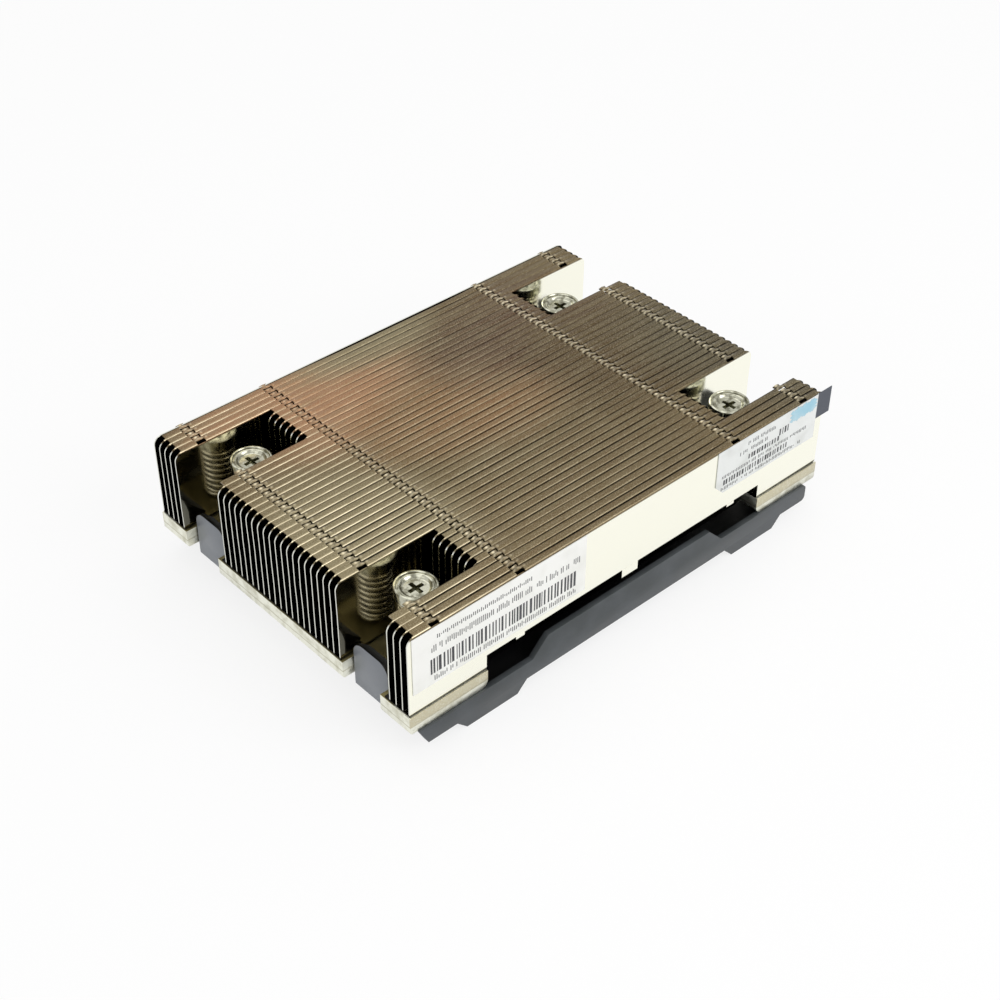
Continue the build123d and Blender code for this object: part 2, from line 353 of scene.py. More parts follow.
@dataclass(frozen=True)
class FinPlating:
    """Nickel plating of the fins: warm and streaky on the flanges, with tarnish patches that also paint the
    reflection of the surroundings, pale with painted light and shade on the webs, and painted highlights at
    folds and presses.
    """

    # Painted light on webs that face open space towards +X and on the outermost fins, a shaded copy towards
    # -X, and painted shade in the channels.
    lit_web: Color = shade(252, 251, 236)
    shaded_web: Color = shade(182, 176, 154)
    # Painted shade in the gap beside each flange's free edge.
    seam: Color = shade(26, 17, 8)
    painted_web_shade: Color = shade(26, 24, 18)
    cut_edge: Color = shade(226, 226, 216)
    flange: Color = shade(100, 85, 60)
    # Patch colours of tarnish that also paint the reflection of the surroundings.
    rosy: Color = shade(150, 112, 82)
    copper: Color = shade(124, 94, 64)
    plum: Color = shade(86, 66, 50)
    umber: Color = shade(82, 66, 44)
    olive: Color = shade(84, 76, 59)
    straw: Color = shade(124, 114, 88)
    # Pale colour of the speckle and of the painted highlights on folds and presses.
    pressed: Color = shade(232, 220, 188)
    # Height of the painted shadow line along the webs' foot, just above the plate.
    foot_shadow_line: float = 5.25 * MM
    web_rough: float = 0.11
    flange_rough: tuple[float, float] = (0.26, 0.42)

    def top_colour(self, wires: Wiring, streak: Socket, speckle: Socket) -> Socket:
        """Colour of the flanges: tarnish patches that also paint the reflection of the surroundings, streaks,
        speckle, painted highlights on folds and presses, and painted shade in the seams.

        Args:
            wires: the material's node tree.
            streak: grain drawn out along the fins.
            speckle: fine grain.

        Returns:
            The colour at each place.
        """
        cloud = wires.noise(28 * MM, detail=3.0)
        # Tarnish patches on the flanges, which also paint the reflection of the surroundings.
        patches = (
            (self.rosy, (-26, 32), (36, 24)), (self.straw, (-52, -16), (30, 30)),
            (self.copper, (4, 8), (40, 20)), (self.plum, (26, 22), (34, 24)),
            (self.umber, (36, -2), (26, 26)), (self.olive, (58, -18), (22, 44)),
            (self.straw, (-4, 42), (26, 12)),
        )
        top = self.flange
        for colour, (x, y), (long, wide) in patches:
            patch = wires.patch((x * MM, y * MM), (long * MM, wide * MM), cloud)
            top = wires.mix(patch, top, colour)
        top = wires.mix(wires.span(streak, 0.35, 0.75, 0.0, 0.4), top, self.straw)
        top = wires.mix(wires.span(speckle, 0.45, 0.75, 0.0, 0.22), top, self.pressed)
        # Painted highlight on the crest of each upper fold, strongest towards -X and broken up by grain.
        middle = wires.span(wires.axis("X"), 30 * MM, 4 * MM, 0.05, 0.2)
        front = wires.span(wires.axis("X"), -18 * MM, -46 * MM, 0.0, 0.7)
        broken = wires.span(wires.noise(7 * MM), 0.35, 0.65, 0.5, 1.0)
        fold_highlight = wires.product(wires.mark("fold"), wires.math("MAXIMUM", front, middle), broken)
        top = wires.mix(fold_highlight, top, self.pressed)
        # Painted shade in the gap beside each flange's free edge, deeper where the flange stands further off.
        top = wires.mix(wires.mark("seam"), top, self.seam)
        # Painted highlight on the press marks.
        return wires.mix(wires.mark("pressed"), top, self.pressed)

    def web_colour(self, wires: Wiring) -> Socket:
        """Colour of the webs: painted light where they face open space, bright on cut edges, and painted
        shade in the channels and along their foot.

        Args:
            wires: the material's node tree.

        Returns:
            The colour at each place.
        """
        # Painted light where a web faces open space, more of it towards +X and on the outermost fins, and
        # painted shade in the channels.
        outward = wires.product(wires.facing("Y"), wires.mark("open"), -1.0)
        sunny = wires.math("MAXIMUM", wires.span(wires.axis("X"), -20 * MM, 20 * MM), wires.mark("outer"))
        lit = wires.mix(sunny, self.shaded_web, self.lit_web)
        bright = wires.mix(wires.span(outward, 0.1, 0.6), self.painted_web_shade, lit)
        along = wires.math("ABSOLUTE", wires.facing("X"))
        ended = wires.span(wires.math("MAXIMUM", along, wires.facing("Z")), 0.5, 0.8)
        web = wires.mix(ended, bright, self.cut_edge)
        # Painted shadow along the foot of each web, just above the plate.
        under = wires.span(wires.axis("Z"), self.foot_shadow_line, self.foot_shadow_line - 0.15 * MM, 0.0, 0.95)
        return wires.mix(under, web, self.painted_web_shade)

    def material(self) -> Material:
        """Wire the plating: flanges above, webs below, mirror-smooth webs and lightly grained flanges.

        Returns:
            The material.
        """
        wires = Wiring("fin_plating")
        streak = wires.noise(0.9 * MM, detail=3.0, stretch=(14, 1, 1))
        speckle = wires.noise(0.28 * MM, detail=2.0)
        flange = wires.mark("flange")
        colour = wires.mix(flange, self.web_colour(wires), self.top_colour(wires, streak, speckle))
        rough = wires.add("ShaderNodeMix", data_type="FLOAT")
        wires.feed(rough.inputs["Factor"], flange)
        wires.feed(rough.inputs[2], self.web_rough)
        wires.feed(rough.inputs[3], wires.span(streak, 0.2, 0.8, *self.flange_rough))
        grain = wires.product(wires.math("ADD", speckle, streak), flange)
        wires.coat(Base_Color=colour, Metallic=1.0, Roughness=rough.outputs[0])
        wires.bump(grain, 0.02 * MM, 0.45)
        return wires.material


@dataclass(frozen=True)
class BasePlating:
    """Nickel plating of the thick plate, mottled, with a seam along its stamped edge."""

    bright: Color = shade(238, 238, 224)
    stain: Color = shade(178, 175, 150)
    worn_side: Color = shade(204, 197, 170)
    side: float = 43.3 * MM
    # Painted shade on the plate's top under the fins, and on its sides in the recess at the waist.
    under_fin_shade: Color = shade(122, 115, 84)
    recess_shade: Color = shade(28, 27, 24)
    seam_height: float = 2.1 * MM
    waist: float = 37.9 * MM
    ear_start: float = 41.4 * MM

    def material(self) -> Material:
        """Wire the plating: mottling, a seam at mid height, rubbed side faces, and painted shade in the
        recess and under the fins.

        Returns:
            The material.
        """
        wires = Wiring("base_plating")
        mottle = wires.span(wires.noise(2.4 * MM, detail=4.0), 0.38, 0.72)
        fine = wires.noise(0.35 * MM, detail=3.0)
        height = wires.math("ADD", wires.axis("Z"), wires.product(wires.noise(2 * MM), 0.3 * MM))
        away = wires.math("ABSOLUTE", wires.math("SUBTRACT", height, self.seam_height))
        seam = wires.span(away, 0.28 * MM, 0.05 * MM)
        colour = wires.mix(wires.product(mottle, 0.6), self.bright, self.stain)
        colour = wires.mix(wires.product(seam, 0.6), colour, self.stain)
        side_face = wires.span(wires.off("Y"), self.side - 0.1 * MM, self.side)
        upper = wires.span(wires.axis("Z"), self.seam_height - 0.3 * MM, self.seam_height)
        rubbed = wires.product(side_face, upper, wires.span(fine, 0.3, 0.55, 0.55, 1.0))
        colour = wires.mix(rubbed, colour, self.worn_side)
        # Painted shade on the side faces in the recess between the ears.
        beside = wires.math("ABSOLUTE", wires.math("SUBTRACT", wires.off("Y"), self.waist))
        between = wires.span(wires.off("X"), self.ear_start + MM, self.ear_start - MM)
        recess = wires.product(wires.span(beside, 0.6 * MM, 0.3 * MM), between)
        colour = wires.mix(recess, colour, self.recess_shade)
        # Painted shade on the plate's top under the fins.
        within = wires.span(wires.off("Y"), self.waist + MM, self.waist)
        under_fins = wires.product(wires.span(wires.facing("Z"), 0.5, 0.8), within)
        colour = wires.mix(under_fins, colour, self.under_fin_shade)
        wires.coat(Base_Color=colour, Metallic=1.0, Roughness=wires.span(fine, 0.2, 0.8, 0.26, 0.46))
        wires.bump(wires.math("SUBTRACT", fine, wires.product(seam, 2.0)), 0.03 * MM, 0.6)
        return wires.material


@dataclass(frozen=True)
class MouldedPlastic:
    """Dark blue-grey moulded plastic with a fine spark-eroded grain."""

    body: Color = shade(62, 66, 68)
    worn: Color = shade(86, 90, 94)
    hook: Color = shade(124, 128, 134)
    # Painted shade inside the cover and on the hooks' edges.
    inner: Color = shade(12, 12, 13)
    rail_inside: float = 42.6 * MM
    floor_under: float = -2.35 * MM
    hook_start: float = 53.0 * MM

    def material(self) -> Material:
        """Wire the plastic: flow marks, fine grain, painted shade on the inner faces and the hooks' edges,
        and paler hooks.

        Returns:
            The material.
        """
        wires = Wiring("cover_plastic")
        flow = wires.noise(9 * MM, detail=3.0)
        grain = wires.noise(0.22 * MM, detail=2.0)
        colour = wires.mix(wires.span(flow, 0.35, 0.75, 0.0, 0.6), self.body, self.worn)
        # Painted shade on the faces inside the rails, above the floor's underside.
        inside = wires.span(wires.off("Y"), self.rail_inside + 0.2 * MM, self.rail_inside)
        ahead = wires.span(wires.off("X"), self.hook_start, self.hook_start - MM)
        above = wires.span(wires.axis("Z"), self.floor_under, self.floor_under + 0.2 * MM)
        colour = wires.mix(wires.product(inside, ahead, above), colour, self.inner)
        # Paler hooks, with painted shade on their faces that don't face along X.
        hooked = wires.product(wires.span(wires.off("X"), self.hook_start, self.hook_start + MM), inside)
        outward = wires.span(wires.math("ABSOLUTE", wires.facing("X")), 0.6, 0.85)
        colour = wires.mix(hooked, colour, wires.mix(outward, self.inner, self.hook))
        wires.coat(Base_Color=colour, Roughness=wires.span(flow, 0.3, 0.7, 0.36, 0.5), Specular_IOR_Level=0.4)
        wires.bump(grain, 0.02 * MM, 0.5)
        return wires.material


@dataclass(frozen=True)
class TurnedSteel:
    """Plated steel of a turned, drawn or stamped small piece."""

    name: str
    bright: Color
    dark: Color
    smooth: float = 0.2
    rough: float = 0.36

    def material(self) -> Material:
        """Wire the steel: cloudy plating with fine scratches.

        Returns:
            The material.
        """
        wires = Wiring(self.name)
        cloud = wires.noise(1.6 * MM, detail=3.0)
        scratch = wires.noise(0.12 * MM, detail=2.0, stretch=(1, 1, 5))
        colour = wires.mix(wires.span(cloud, 0.42, 0.68, 0.0, 0.8), self.bright, self.dark)
        rough = wires.span(cloud, 0.3, 0.7, self.smooth, self.rough)
        wires.coat(Base_Color=colour, Metallic=1.0, Roughness=rough)
        wires.bump(scratch, 0.01 * MM, 0.5)
        return wires.material


@dataclass(frozen=True)
class PrintedFilm:
    """Film of a label or tape, or the ink on it, with faint fibres and handling marks."""

    name: str
    sheet: Color
    handled: Color
    rough: float = 0.45

    def material(self) -> Material:
        """Wire the film: slight yellowing, fibres and a soft sheen.

        Returns:
            The material.
        """
        wires = Wiring(self.name)
        age = wires.noise(6 * MM, detail=3.0)
        fibre = wires.noise(0.2 * MM, detail=2.0, stretch=(4, 1, 1))
        colour = wires.mix(wires.span(age, 0.4, 0.75, 0.0, 0.7), self.sheet, self.handled)
        wires.coat(Base_Color=colour, Roughness=self.rough)
        wires.bump(fibre, 0.01 * MM, 0.35)
        return wires.material


@dataclass(frozen=True)
class ShadedFlapFilm:
    """Grey-white label film, with painted shade on its flap past the fins' end."""

    film: Color = shade(226, 228, 226)
    handled: Color = shade(206, 208, 204)
    flap_shade: Color = shade(58, 64, 76)
    flap_start: float = 59.6 * MM

    def material(self) -> Material:
        """Wire the film: painted shade begins on the flap where the label ends, and the label has faint
        marks.

        Returns:
            The material.
        """
        wires = Wiring("rear_label_film")
        age = wires.noise(5 * MM, detail=3.0)
        film = wires.mix(wires.span(age, 0.4, 0.75, 0.0, 0.7), self.film, self.handled)
        # Painted shade on the flap past the fins' end.
        on_flap = wires.span(wires.axis("X"), self.flap_start - 0.05 * MM, self.flap_start + 0.05 * MM)
        wires.coat(Base_Color=wires.mix(on_flap, film, self.flap_shade), Roughness=0.4)
        wires.bump(wires.noise(0.2 * MM, detail=2.0), 0.01 * MM, 0.35)
        return wires.material


class FinKind(Enum):
    """How a fin is shaped."""

    LONG = "runs the whole length"
    SHORT = "cut short by the notches over the screws"
    OUTER = "lower edge stepped up between the ears"
    END = "flat sheet that closes the stack"


class Zone(Enum):
    """Stretches of a fin's section, from its lower free edge round to its upper one."""

    LOWER_FLANGE = 0
    LOWER_FOLD = 1
    WEB = 2
    UPPER_FOLD = 3
    UPPER_FLANGE = 4
    TONGUE = 5


@dataclass
class Section:
    """Path of a fin's middle surface across its length: one entry for each row of the grid."""

    y: Array
    rise: Array
    share: Array
    zone: NDArray[np.int64]


@dataclass
class FinStack:
    """The folded sheet fins, which interlock by tongues and windows in rows across the stack."""

    sheet: float = 0.4 * MM
    seen_sheet: float = 0.3 * MM
    fold_radius: float = 0.34 * MM
    press_rise: float = 0.2 * MM
    flange_press: float = 0.8
    end_corner: float = 2.0 * MM
    end_zone: float = 3.0 * MM
    rows: tuple[float, float] = (32.1 * MM, 54.7 * MM)
    window_length: float = 2.3 * MM
    window_reach: float = 0.8 * MM
    tongue_root: float = 1.5 * MM
    tongue_tip: float = 1.9 * MM
    tongue_length: float = 0.75 * MM
    tongue_shift: float = -0.15 * MM
    bead: float = 0.34 * MM
    arch_radius: float = 1.0 * MM
    arch_width: float = 0.2 * MM
    dimple: Span3 = (1.85 * MM, 1.0 * MM, 0.28 * MM)
    band: tuple[float, float] = (-1.5 * MM, 2.3 * MM)
    loosest_gap: float = 0.3 * MM
    least_step: float = 0.07 * MM
    gap_waves: Span3 = (0.83, 0.26, 0.11)
    # Shares of the painted shade in the seam on the flange's last two rows.
    seam_shade_shares: tuple[float, float] = (0.75, 1.8)
    # Shares of the painted highlight on the rows round the upper fold's crest.
    fold_highlight_shares: Span3 = (0.1, 1.0, 0.25)
    bent: float = 0.15 * MM
    bent_length: float = 9 * MM
    bent_waves: tuple[float, float] = (0.9, 0.47)
    column_step: float = 2.5 * MM
    end_columns: int = 5
    band_columns: int = 21
    bend_rows: int = 5
    flange_rows: int = 10
    tongue_rows: int = 4
    web_rows: tuple[int, int] = (4, 8)
    web_split: tuple[float, float] = (0.86, 0.89)
    skirt_lift: float = 3.5 * MM
    step_half: float = 0.01 * MM
    waist: float = 38.0 * MM
    tab: tuple[float, float] = (4.8 * MM, 1.75 * MM)
    nib: tuple[float, float] = (2.4 * MM, 0.35 * MM)
    plating: FinPlating = field(default_factory=FinPlating)

    def __post_init__(self) -> None:
        """Read the stack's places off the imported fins."""
        plate_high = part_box("base_plate")[1]
        self.base_top = plate_high.z
        low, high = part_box("fin_20")
        self.fin_top = high.z
        self.fin_end = high.x
        self.reach = high.y - low.y - self.sheet / 2 - self.tongue_length
        self.short_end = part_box("fin_08")[1].x
        self.ear_start = self.plate_ear_start(plate_high)

    def plate_ear_start(self, plate_high: Vector) -> float:
        """Find where the plate's ears begin: the smallest X among its points on the outermost side.

        Args:
            plate_high: the upper corner of the plate's box.

        Returns:
            X of the ears' start, to either side.
        """
        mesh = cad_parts["base_plate"].data
        spots = np.zeros(len(mesh.vertices) * 3, np.float32)
        mesh.vertices.foreach_get("co", spots)
        spots = spots.reshape(-1, 3)
        outer = spots[np.abs(spots[:, 1] - plate_high.y) < 0.01 * MM]
        return float(np.abs(outer[:, 0]).min())

    def kind_of(self, node: str) -> FinKind:
        """Tell a fin's kind from its packed box.

        Args:
            node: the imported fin's name.

        Returns:
            Its kind.
        """
        low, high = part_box(node)
        if high.y - low.y < 2 * self.sheet:
            return FinKind.END
        if high.x < self.fin_end - MM:
            return FinKind.SHORT
        if abs(low.y + self.sheet / 2) + self.sheet / 2 > self.waist:
            return FinKind.OUTER
        return FinKind.LONG

    def section(self, kind: FinKind) -> Section:
        """Lay out the rows of a fin's section.

        The path runs along the lower flange, round a quarter circle, up the web, round another quarter
        circle and along the upper flange to the tip of a tongue. A row's height is the stretch from the
        lower to the upper level times its share, plus its rise. The web's rows lie closer near its top, where
        each end's corner is round.

        Args:
            kind: a flat end sheet has the web's rows only.

        Returns:
            The rows.
        """
        radius = self.fold_radius
        bend = np.linspace(0, math.pi / 2, self.bend_rows)
        (few, many), (below, above) = self.web_rows, self.web_split
        climb = np.concatenate([np.linspace(0, below, few), np.linspace(above, 1, many)])
        if kind is FinKind.END:
            still = np.zeros_like(climb)
            return Section(still, still, climb, np.full(len(climb), Zone.WEB.value))
        flange = np.linspace(radius, self.reach, self.flange_rows)[1:]
        tongue = self.reach + np.linspace(0, self.tongue_length, self.tongue_rows)[1:]
        climb = climb[1:-1]
        parts = [
            (np.array([self.reach]), np.zeros(1), np.zeros(1), Zone.LOWER_FLANGE),
            (radius * (1 - np.sin(bend)), radius * (1 - np.cos(bend)), 0 * bend, Zone.LOWER_FOLD),
            (0 * climb, radius * (1 - 2 * climb), climb, Zone.WEB),
            (radius * (1 - np.cos(bend)), radius * (np.sin(bend) - 1), 0 * bend + 1, Zone.UPPER_FOLD),
            (flange, 0 * flange, 0 * flange + 1, Zone.UPPER_FLANGE),
            (tongue, 0 * tongue, 0 * tongue + 1, Zone.TONGUE),
        ]
        y, rise, share = (np.concatenate([part[i] for part in parts]) for i in range(3))
        zone = np.concatenate([np.full(len(part[0]), part[3].value) for part in parts])
        return Section(y, rise, share, zone)

    def places(self, half_length: float) -> Array:
        """X of the interlocks that fit on a fin of this half length."""
        near = np.array([x for x in self.rows if x + self.window_length / 2 < half_length])
        return np.concatenate([-near[::-1], near])

    def columns(self, kind: FinKind, half_length: float) -> Array:
        """X of the grid's columns: even steps, closer at the ends and interlocks, and at each edge itself.

        Even steps that come too near to an edge's own place are left out, since slivers fold over.

        Args:
            kind: the fin's kind.
            half_length: half its length.

        Returns:
            X of the columns, from -X to +X.
        """
        heel = half_length - self.end_zone
        plain = np.linspace(-heel, heel, int(heel / self.column_step))
        end = np.linspace(heel, half_length, self.end_columns)
        near = np.linspace(*self.band, self.band_columns)
        edges = np.array([-0.5, 0.5]) * self.window_length
        tongues = self.tongue_shift + np.array([-0.5, 0.5]) * self.tongue_root
        places = self.places(half_length)
        exact = [end, -end] + [x + edges for x in places] + [x + tongues for x in places]
        if kind in (FinKind.OUTER, FinKind.END):
            step = self.ear_start + np.array([-1, 1]) * self.step_half
            exact += [step, -step]
        fixed = np.unique(np.round(np.concatenate(exact), 7))
        loose = np.unique(np.round(np.concatenate([plain] + [x + near for x in places]), 7))
        loose = loose[np.abs(loose[:, None] - fixed).min(axis=1) > self.least_step]
        loose = loose[np.append(True, np.diff(loose) > self.least_step)]
        return np.sort(np.concatenate([fixed, loose]))

    def nearest(self, x: Array, places: Array) -> tuple[Array, Array]:
        """Signed distance of each X from the interlock that is nearest to it, and which one that is."""
        which = np.abs(x[..., None] - places).argmin(axis=-1)
        return x - places[which], which

    def glints(self, places: Array, web_y: float, seed: int) -> Array:
        """How strong the painted highlight on each interlock of a fin is: by chance, and weaker in the rosy
        patch.

        Args:
            places: X of the fin's interlocks.
            web_y: Y of its web.
            seed: for the chance.

        Returns:
            A share of the full shine for each interlock.
        """
        bright = np.random.default_rng(seed).uniform(0.55, 1.0, len(places))
        rosy = np.abs(places + self.rows[0]) < MM
        return bright * np.where(rosy, np.clip(0.75 - web_y / (36 * MM), 0.3, 1), 1)

    def slack(self, base_x: Array, web_y: float, seed: int) -> Array:
        """How far each column's flange stands off the next fin, as a share of the loosest gap.

        A slow wave, let through in the middle and beyond the inner rows, less towards +Y, and hardly at all
        in the calm corner at -X and +Y.

        Args:
            base_x: X of each column.
            web_y: Y of the fin's web.
            seed: for the wave.

        Returns:
            The share at each column.
        """
        inner, outer = self.rows
        middle = np.clip(1.2 - (base_x / inner) ** 4, 0, 1)
        front = np.clip(0.6 - web_y / (30 * MM), 0.3, 1) * ((base_x < -inner) & (base_x > -outer))
        back = np.clip(0.7 - web_y / (70 * MM), 0.2, 1) * (base_x > inner)
        wave = np.clip(0.85 + 0.5 * wander(base_x, seed, self.gap_waves), 0.2, 1.1)
        calm = np.clip(-base_x / (12 * MM) - 0.7, 0, 1) * np.clip(web_y / (16 * MM) - 0.9, 0, 0.8)
        return wave * np.maximum(middle, np.maximum(front, back)) * (1 - calm)

    def rounded(self, base_x: Array, z: Array, top: float, half_length: float) -> Array:
        """Draw the columns of each end in to a quarter circle at the upper corner.

        Args:
            base_x: X of each column.
            z: Z of each point.
            top: Z of the flange.
            half_length: half the fin's length.

        Returns:
            X of each point.
        """
        heel = half_length - self.end_zone
        corner = self.end_corner
        over = np.clip(z - (top - corner), 0, corner)
        limit = half_length - corner + np.sqrt(corner**2 - over**2)
        past = np.clip(np.abs(base_x) - heel, 0, None)
        return np.sign(base_x) * (np.minimum(np.abs(base_x), heel) + past * (limit - heel) / self.end_zone)

    def raised(self, aside: Array, y: Array, flange: Array) -> Array:
        """Work out how far the press raises each point.

        On the flange that is a ring of Gaussian height round the window's middle and a Gaussian dimple beside
        it, both a little lower than the Gaussian dome on a tongue.

        Args:
            aside: X of each point, measured from the nearest interlock.
            y: Y of each point, measured from the web.
            flange: whether a row is part of the upper flange.

        Returns:
            The share of the press's full height.
        """
        middle = self.window_reach / 2
        radius = np.hypot(aside, y - middle)
        arch = np.exp(-(((radius - self.arch_radius) / self.arch_width) ** 2)) * (y > middle)
        bead_y = self.reach + self.tongue_length / 2
        dome = np.exp(-((np.hypot(aside - self.tongue_shift, y - bead_y) / self.bead) ** 2))
        centre_x, centre_y, reach = self.dimple
        dimple = np.exp(-((np.hypot(aside - centre_x, y - centre_y) / reach) ** 2))
        return np.maximum(dome, np.maximum(arch, dimple) * flange * self.flange_press)

    def shine(self, x: Array, y: Array, aside: Array, web_y: float) -> Array:
        """How strong the painted highlight on beads and arches is by place: at +X beads dull towards +Y,
        where arches brighten.

        Args:
            x: X of each point.
            y: Y of each point, measured from the web.
            aside: X of each point, measured from the nearest interlock.
            web_y: Y of the web.

        Returns:
            The share of the full shine.
        """
        far = np.clip(0.5 + web_y / (24 * MM), 0, 1)
        bead = np.where(x > 0, 1 - 0.7 * far, 1.0)
        arch = np.where(x > 0, (0.4 + 0.6 * far) * np.where(aside > self.arch_radius, 0.5, 1), 0.45)
        return np.where(y > self.reach, bead, arch)

    def surface(self, kind: FinKind, web_y: float, half_length: float, seed: int) -> tuple[Array, ...]:
        """Work out a fin's middle surface.

        A point is the section's place at its column. The flange's free edge is drawn back unevenly, and the
        webs are bent a little towards their ends: a wave times the sine of the height's share. Tongues widen
        evenly from root to tip.

        Args:
            kind: the fin's kind.
            web_y: Y of its web.
            half_length: half its length.
            seed: for its own small irregularities.

        Returns:
            The points, shaped (rows, columns, 3), the section's zones, the columns, and for each point
            how strong the painted highlight on its press is and how dark the painted shade in the seam beside
            it is, from 0 to 1.
        """
        section = self.section(kind)
        base_x = self.columns(kind, half_length)
        half_sheet = 0 if kind is FinKind.END else self.sheet / 2
        top = self.fin_top - half_sheet - self.press_rise
        stepped = kind in (FinKind.OUTER, FinKind.END)
        lift = stepped * self.skirt_lift * (np.abs(base_x) < self.ear_start)
        share = section.share[:, None]
        z = (self.base_top + lift + half_sheet) * (1 - share) + top * share + section.rise[:, None]
        y = np.repeat(section.y[:, None], len(base_x), axis=1)
        slack = self.slack(base_x, web_y, seed)
        flange = (section.zone == Zone.UPPER_FLANGE.value)[:, None]
        tongue = (section.zone == Zone.TONGUE.value)[:, None]
        along = np.clip((y - self.fold_radius) / (self.reach - self.fold_radius), 0, 1)
        y = y - self.loosest_gap * slack * np.where(flange | tongue, along, 0)
        if not stepped:
            towards_end = np.clip((np.abs(base_x) - half_length) / self.bent_length + 1, 0, 1)
            wave = wander(share * (1 + 0.2 * np.sign(base_x)), seed, self.bent_waves) * np.sin(np.pi * share)
            y = y + self.bent * towards_end * wave

        x = self.rounded(base_x, z, top, half_length)
        places = self.places(half_length)
        aside, which = self.nearest(x, places)
        spread = np.clip((section.y - self.reach) / self.tongue_length, 0, 1)[:, None]
        lean = spread * (self.tongue_tip / self.tongue_root - 1)
        x = np.where(tongue, x + (aside - self.tongue_shift) * lean, x)
        pressed = np.where(flange | tongue, self.raised(aside, y, flange), 0)
        points = np.stack([x, web_y + y, z + self.press_rise * pressed], axis=-1)
        # Strength of the painted highlight on each press, by place and by chance.
        shine = self.shine(x, y, aside, web_y) * self.glints(places, web_y, seed)[which]
        # Painted shade in the seam beside the free edge, following the flange's slack.
        seam = np.zeros_like(x)
        free_edge = np.flatnonzero(flange)[-2:]
        if len(free_edge):
            seam[free_edge] = np.clip(np.outer(self.seam_shade_shares, slack), 0, 1)
        return points, section.zone, base_x, pressed * shine, seam

    def kept_quads(self, zone: Array, y: Array, base_x: Array, half_length: float) -> Array:
        """Choose the quads that a fin's sheet has: windows, the stretches between tongues and steps are open.

        Args:
            zone: the zone of each row.
            y: the plain Y of each row, measured from the web.
            base_x: X of each column.
            half_length: half the fin's length.

        Returns:
            A mask shaped (rows - 1, columns - 1).
        """
        middle_x = (base_x[:-1] + base_x[1:]) / 2
        aside = self.nearest(middle_x, self.places(half_length))[0]
        middle_y = (y[:-1] + y[1:]) / 2
        upper = zone[1:]
        in_window = np.abs(aside) < self.window_length / 2
        in_tongue = np.abs(aside - self.tongue_shift) < self.tongue_root / 2
        window_rows = (zone[:-1] > Zone.WEB.value) & (middle_y < self.window_reach)
        keep = ~(window_rows[:, None] & in_window)
        keep &= ~((upper == Zone.TONGUE.value)[:, None] & ~in_tongue)
        narrow = np.diff(base_x) < 5 * self.step_half
        at_step = narrow & (np.abs(np.abs(middle_x) - self.ear_start) < 2 * self.step_half)
        keep &= ~((upper <= Zone.LOWER_FOLD.value)[:, None] & at_step)
        return keep

    def marks(self, zone: Array, x: Array, opening: float) -> dict[str, Array]:
        """Values that the plating reads at each point.

        Args:
            zone: the zone of each row.
            x: X of each point, shaped (rows, columns).
            opening: 1 where the web's -Y side faces open space, -1 for its +Y side, and twice that where
                this holds over the fin's whole length and not only at the notches.

        Returns:
            How much of a point is flange, the crest of the upper fold, which takes a painted highlight, open,
            and outermost.
        """
        flange = np.repeat((zone >= Zone.UPPER_FOLD.value)[:, None], x.shape[1], axis=1).astype(float)
        crest = np.zeros(len(zone))
        bend = np.flatnonzero(zone == Zone.UPPER_FOLD.value)
        if len(bend):
            crest[bend[1:-1]] = self.fold_highlight_shares
        fold = np.repeat(crest[:, None], x.shape[1], axis=1)
        at_notch = (np.abs(x) > self.short_end) | (abs(opening) > 1)
        outer = np.full(x.shape, float(abs(opening) > 1))
        return {"flange": flange, "fold": fold, "open": np.sign(opening) * at_notch, "outer": outer}

    def tab_corners(self, centre: float, size: tuple[float, float], web_y: float) -> Array:
        """Corners of a flat tab that hangs from the stepped edge: a grid of two rows and two columns.

        Args:
            centre: X of its middle.
            size: its length, and how far it hangs down.
            web_y: Y of the web.

        Returns:
            The corners, shaped (2, 2, 3).
        """
        bottom = self.base_top + self.skirt_lift - size[1]
        top = self.base_top + self.skirt_lift + self.sheet
        x, z = np.meshgrid([centre - size[0] / 2, centre + size[0] / 2], [bottom, top])
        return np.stack([x, np.full_like(x, web_y), z], axis=-1)

    def opening(self, nodes: list[str], index: int) -> float:
        """Tell which side of a fin's web faces open space, as marks() takes it.

        Args:
            nodes: the fins in order from the +Y side.
            index: which of them.

        Returns:
            0 for a fin with neighbours on both sides all along.
        """
        if index in (0, len(nodes) - 1):
            return 2.0 if index else -2.0
        kinds = [self.kind_of(nodes[i]) for i in (index - 1, index, index + 1)]
        if kinds[1] is FinKind.SHORT:
            return 0.0
        return float(kinds[2] is FinKind.SHORT) - float(kinds[0] is FinKind.SHORT)

